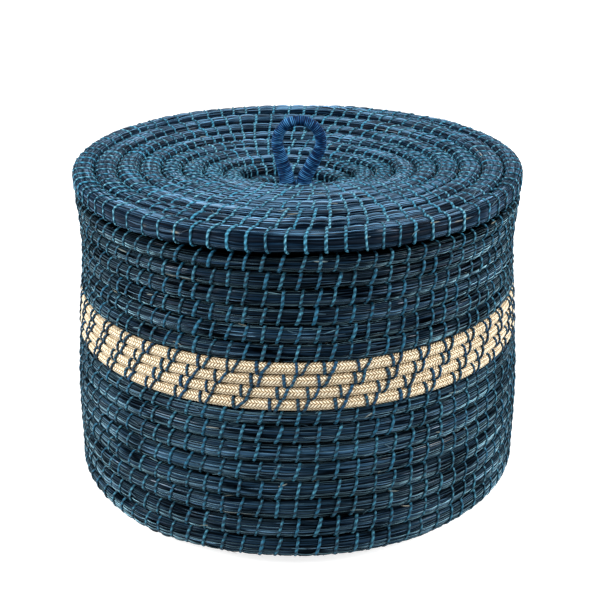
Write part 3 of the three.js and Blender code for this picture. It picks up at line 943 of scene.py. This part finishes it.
def lid_sewing():
    """Turns of the lid's stitches from the eye outward. Each starts where the one inside it ends,
    so that they make lines, but keeps to an even spacing: now and then one more comes between."""
    stitches = [0.0]
    inside = 0  # the stitch a turn before the next one
    while stitches[-1] < lid_turns[-1]:
        last = stitches[-1]
        radius = np.interp(last, lid_turns, lid_places)
        once_round = math.tau * radius
        spacing = (EYE_STITCH + (LID_STITCH - EYE_STITCH) * radius / LID_RADIUS) / once_round
        gap = 0
        while gap < LEAST_GAP * spacing and inside < len(stitches):
            gap = stitches[inside] + 1 - 2 * STITCH_LEAN / once_round - last
            inside += 1
        if gap > MOST_GAP * spacing or gap < LEAST_GAP * spacing:
            inside = max(0, inside - 1)
            gap = spacing * EXTRA_GAP
        own = 1 - LINE_PULL + random.uniform(-LID_JITTER, LID_JITTER)
        stitches.append(last + gap * LINE_PULL + spacing * own)
    stitches[-1] = lid_turns[-1]
    return np.array(stitches)


LID_SHEEN = (0.21, 0.46, 0.74)
LID_UNDER_SHADE = 1.5  # how dark the painted shade on the lid's under side is
lid_grass = material("lid_dyed_grass", dress_grass(0.75, 0.65, 0.88, LID_SHEEN, 0.29))
lid_twine = material("light_teal_twine", dress_twine(
    LID_TWIST, (0.002, 0.018, 0.034), (0.014, 0.115, 0.19), (0.19, 0.47, 0.60),
    (0.05, 0.31, 0.50),
))


def lid_course(name, stitches, sewn, last):
    """A stretch of the lid's bundle, with twine at those of its stitches that are sewn."""
    reach = np.interp(stitches, lid_turns, lid_places)
    slants = leaning(len(stitches), -STITCH_LEAN) / (math.tau * reach)
    mesh = grass_bundle(
        name + "_grass", lid_at, stitches, slants, sides=28, last=last,
        upper_power=NARROW_GROOVE, lower_power=NARROW_GROOVE, under=LID_UNDER_SHADE,
    )
    piece(mesh.name, mesh, lid_grass, "lid", "dyed_grass", "lid_coil")
    mesh = twine_loops(
        name + "_twine", lid_at, stitches[sewn], slants[sewn], half_width=LID_TWINE_HALF_WIDTH
    )
    piece(mesh.name, mesh, lid_twine, "lid", "dyed_grass")


lid_stitches = lid_sewing()
thick = np.interp(lid_stitches, lid_turns, lid_widths) > FULL_HEIGHT
thick[[0, -1]] = False
lid_course("lid", lid_stitches, thick, lid_turns[-1])
taper_stitches = stitch_turns(lid_turns[0], 0, TAPER_STITCHES)
lid_course("lid_taper", taper_stitches, taper_stitches > lid_turns[0], math.inf)

# Ring beneath the lid: one round of the same grass, sewn on so that it drops into the mouth and
# keeps the lid from sliding off.
RING_CLEARANCE = 0.0064  # between the ring and the wall's inner side
RING_STITCHES = 72
RING_SEAM = 0.0005  # left open at its ends, in turns
RING_WIDTH = 0.011
RING_HEIGHT = 0.012
SEAT_GAP = 0.0003
RING_RADIUS = MOUTH_RADIUS - RING_CLEARANCE - RING_WIDTH / 2


def ring_at(t):
    """Middle, directions, height, width, angle and section of the ring's bundle at turns t."""
    angle = WALL_START + t * math.tau
    none, one = 0 * angle, 0 * angle + 1
    z = lid_middle(RING_RADIUS, angle) - (LID_DEPTH + RING_HEIGHT) / 2 - SEAT_GAP
    up, out = np.stack([none, one]), np.stack([one, none])
    return RING_RADIUS + none, z, up, out, RING_HEIGHT, RING_WIDTH, angle, SECTION_POWER


ring_stitches = stitch_turns(RING_SEAM, 1 - RING_SEAM, RING_STITCHES)
ring_slants = leaning(len(ring_stitches))
mesh = grass_bundle("ring_grass", ring_at, ring_stitches, ring_slants, sides=16)
piece("ring_grass", mesh, grass, "lid", "dyed_grass", "lid_locating_ring")
mesh = twine_loops("ring_twine", ring_at, ring_stitches[1:-1], ring_slants[1:-1])
piece("ring_twine", mesh, twine, "lid", "dyed_grass")

# Finger loop: a cord wound closely with smooth blue thread. It comes up through the lid's eye
# and goes over a round top and down again, standing upright.
CORD_RADIUS = 0.004
LOOP_RADIUS = 0.0157  # of the round top
LOOP_TOP_OFFSET = 0.0012  # of its middle to the right
LOOP_HEIGHT = 0.027  # of its middle above the hinge
LEG_LEFT = -0.0076  # where the loop's two legs stand
LEG_RIGHT = 0.005
HINGE_HEIGHT = 0.005  # above the lid at the eye
TAIL_FOOT = 0.2125  # height at which the cord's tails end, inside the knot
FOOT_SWELLING = 0.0014  # how much thicker the cord is at its foot than at its top
WRAP = 0.0012  # from one turn of the thread to the next
WRAP_DEPTH = 0.00028
CORD_UNEVEN = 0.00012
CORD_SIDES = 14
SMOOTHED = 7  # points to each side over which the loop's line is smoothed
hinge = LID_SEAT + LID_DEPTH - LID_HOLLOW + HINGE_HEIGHT


def loop_line(foot):
    """Points (x, z) up the left leg from a height, round the top and down the right leg."""
    top = np.array([LOOP_TOP_OFFSET, hinge + LOOP_HEIGHT])
    turns = []
    for x, side in ((LEG_LEFT, 1), (LEG_RIGHT, -1)):
        gap = (x, hinge) - top
        turns.append(math.atan2(gap[1], gap[0]) - side * math.acos(LOOP_RADIUS / math.hypot(*gap)))
    angle = np.linspace(turns[0] + math.tau, turns[1], 40)
    arc = top + LOOP_RADIUS * np.stack([np.cos(angle), np.sin(angle)], 1)
    left = [(LEG_LEFT, foot), (LEG_LEFT, hinge)]
    right = [(LEG_RIGHT, hinge), (LEG_RIGHT, foot)]
    return np.vstack([left, arc, right])


def even(points, step):
    """Points at an even step along a line of points."""
    length = np.append(0, np.cumsum(np.linalg.norm(np.diff(points, axis=0), axis=1)))
    where = np.linspace(0, length[-1], round(length[-1] / step) + 1)
    return np.stack([np.interp(where, length, points[:, k]) for k in range(points.shape[1])], 1)


def wound_cord(name, path, across, radius, closed=False):
    """A cord along evenly spaced points, wound with thread: a helix of rounded ridges, whose
    height is the size of a sine. Across is a direction that the cord never runs in. The radius is
    one value or one for each point."""
    if closed:
        tangent = np.roll(path, -1, axis=0) - np.roll(path, 1, axis=0)
    else:
        tangent = np.gradient(path, axis=0)
    side = unit(np.cross(tangent, across))
    normal = unit(np.cross(side, tangent))
    steps = np.linalg.norm(np.diff(path, axis=0), axis=1)
    s = np.append(0, np.cumsum(steps))[:, None]  # length along the cord
    angle = np.linspace(0, math.tau, CORD_SIDES, endpoint=False)[None, :]
    crest = abs(np.sin(math.pi * s / WRAP + angle / 2))
    uneven = CORD_UNEVEN * smooth_noise(len(path), 1, reach=12)
    reach = radius + WRAP_DEPTH * (crest - 0.7) + uneven
    ring = side[:, None] * np.cos(angle)[..., None] + normal[:, None] * np.sin(angle)[..., None]
    points = path[:, None] + reach[..., None] * ring
    u = np.append(s, s[-1:] + steps[-1], axis=0) if closed else s
    v = np.linspace(0, 1, CORD_SIDES + 1)[None, :]
    return tube_mesh(name, points[None], (u + 0 * v)[None], (v + 0 * u)[None], crest[None])


def dress_thread(shade, shader):
    """Smooth blue thread: painted shade between the turns and painted highlights on their backs, no
    two turns alike.
    """
    skin, along, around = skin_place(shade)
    phase = (along * (1 / WRAP) + around) * math.pi
    crest = shade.math("ABSOLUTE", shade.math("SINE", phase))
    turns = skin.noise((900, 2.5, 1), 2) - 0.5
    patch = skin.noise((120, 3, 1), 1) - 0.5
    value = crest * 0.8 + turns * 2.0 + patch * 0.7 - 0.15
    color = value.ramp(
        (0.15, (0.0003, 0.004, 0.018)), (0.5, (0.003, 0.036, 0.125)), (0.95, (0.07, 0.27, 0.54))
    )
    relief = crest + turns
    fill(shader, {
        "Base Color": color, "Normal": relief.bump(0.9, 0.0004),
        "Roughness": 0.5, "Specular IOR Level": 0.06,
    })


thread = material("blue_thread", dress_thread)
flat = even(loop_line(TAIL_FOOT), WRAP / 3)
kernel = np.hanning(2 * SMOOTHED + 1)
kernel /= kernel.sum()
for k in (0, 1):
    flat[SMOOTHED:-SMOOTHED, k] = np.convolve(flat[:, k], kernel, "valid")
path = np.stack([flat[:, 0], 0 * flat[:, 0], flat[:, 1]], 1)
swelling = FOOT_SWELLING * np.clip((hinge + LOOP_HEIGHT - path[:, 2:]) / LOOP_HEIGHT, 0, 1)
mesh = wound_cord("wound_loop", path, (0, 1, 0), CORD_RADIUS + swelling)
mesh.materials.append(thread)
loop = bpy.data.objects.new("wound_loop", mesh)
scene.collection.objects.link(loop)
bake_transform(loop)
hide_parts("finger_loop")

# Knot: the two tails of the finger loop, tied in a flat knot with a turn round its neck, which
# bears on the lid from below and closes the lid's eye.
KNOT_RADIUS = 0.015
KNOT_CORD = 0.0040
KNOT_WEAVE = 0.0018  # the cord rises and falls by this where it passes over and under itself
knot_low, knot_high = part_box("loop_knot")
around = np.linspace(0, math.tau, 361)
middle = KNOT_RADIUS - KNOT_CORD
trefoil = (
    middle / 3 * (np.sin(around) + 2 * np.sin(2 * around)),
    middle / 3 * (np.cos(around) - 2 * np.cos(2 * around)),
    knot_low[2] + KNOT_CORD + KNOT_WEAVE * (1.1 - np.sin(3 * around)),
)
neck_turn = middle * np.cos(around), middle * np.sin(around), knot_high[2] - KNOT_CORD + 0 * around
for name, curve in (("knot", trefoil), ("knot_turn", neck_turn)):
    path = even(np.stack(curve, 1), WRAP / 3)[:-1]
    mesh = wound_cord(name, path, (0, 0, 1), KNOT_CORD, closed=True)
    piece(name, mesh, thread, "lid", "loop_thread", "loop_knot")

# Loose blades: ends of grass that have worked out of the bundles of the wall and the lid, some of
# them undyed. Each is still held in its bundle by its other end.
BLADE_STEPS = 6
BLADE_LENGTHS = (0.004, 0.011)  # shortest and longest
BLADE_RISES = (0.0002, 0.0022)  # how far the end stands off
BLADE_HALF_WIDTHS = (0.0002, 0.00045)
BLADE_HALF_HEIGHT = 0.00016
BLADE_LIFT = 0.0001  # height of the start over the skin
BLADE_REACH = 80  # degrees to each side of a bundle's outermost line
BLADE_DRIFT = 0.25  # radians round the bundle by which the end strays


def loose_blades(name, at, first, last, count):
    """Blades that leave a bundle's outer side, rise as the square of the way along and end in a
    point."""
    along = np.linspace(0, 1, BLADE_STEPS)[None, :]
    start = random.uniform(first, last, (count, 1))
    way = random.choice((-1, 1), (count, 1)) * random.uniform(*BLADE_LENGTHS, (count, 1))
    phi = np.radians(random.uniform(-BLADE_REACH, BLADE_REACH, (count, 1)))
    phi = phi + random.normal(0, BLADE_DRIFT, (count, 1)) * along
    lift = random.uniform(*BLADE_RISES, (count, 1)) * along**2 + BLADE_LIFT
    radius = at(start)[0]
    turn = start + way / (math.tau * radius) * along
    centre = on_bundle(at, turn, phi, lift)
    above = on_bundle(at, turn, phi, lift + SKIN_STEP)
    taper = np.sin(math.pi * (0.12 + 0.8 * along))[..., None, None]
    width = random.uniform(*BLADE_HALF_WIDTHS, (count, 1, 1, 1)) * taper
    points = ribbon(centre, above, np.gradient(centre, axis=1), width, BLADE_HALF_HEIGHT * taper, 4)
    return strand_mesh(name, points, along[0], spread=9)


def dress_loose(shade, shader):
    """Single blades, each from navy to undyed straw."""
    skin, _, _ = skin_place(shade)
    value = skin_tone(shade) + (skin.noise((3, 2, 1), 2) - 0.5) * 0.2
    color = value.ramp(
        (0.1, (0.004, 0.015, 0.03)), (0.6, (0.03, 0.09, 0.14)),
        (0.85, (0.10, 0.20, 0.25)), (0.98, (0.22, 0.22, 0.18)),
    )
    fill(shader, {"Base Color": color, "Roughness": 0.55, "Specular IOR Level": 0.3})


loose = material("loose_grass", dress_loose)
for name, at, first, last, count, body in (
    ("wall_loose_blades", wall_at, -LOWER_ROUNDS + 1, 0, 420, "basket"),
    ("upper_wall_loose_blades", wall_at, JUTE_ROUNDS, WALL_END - 0.2, 260, "basket"),
    ("lid_loose_blades", lid_at, 1, lid_turns[-1] - 0.3, 320, "lid"),
):
    mesh = loose_blades(name, at, first, last, count)
    piece(name, mesh, loose, body, "dyed_grass")
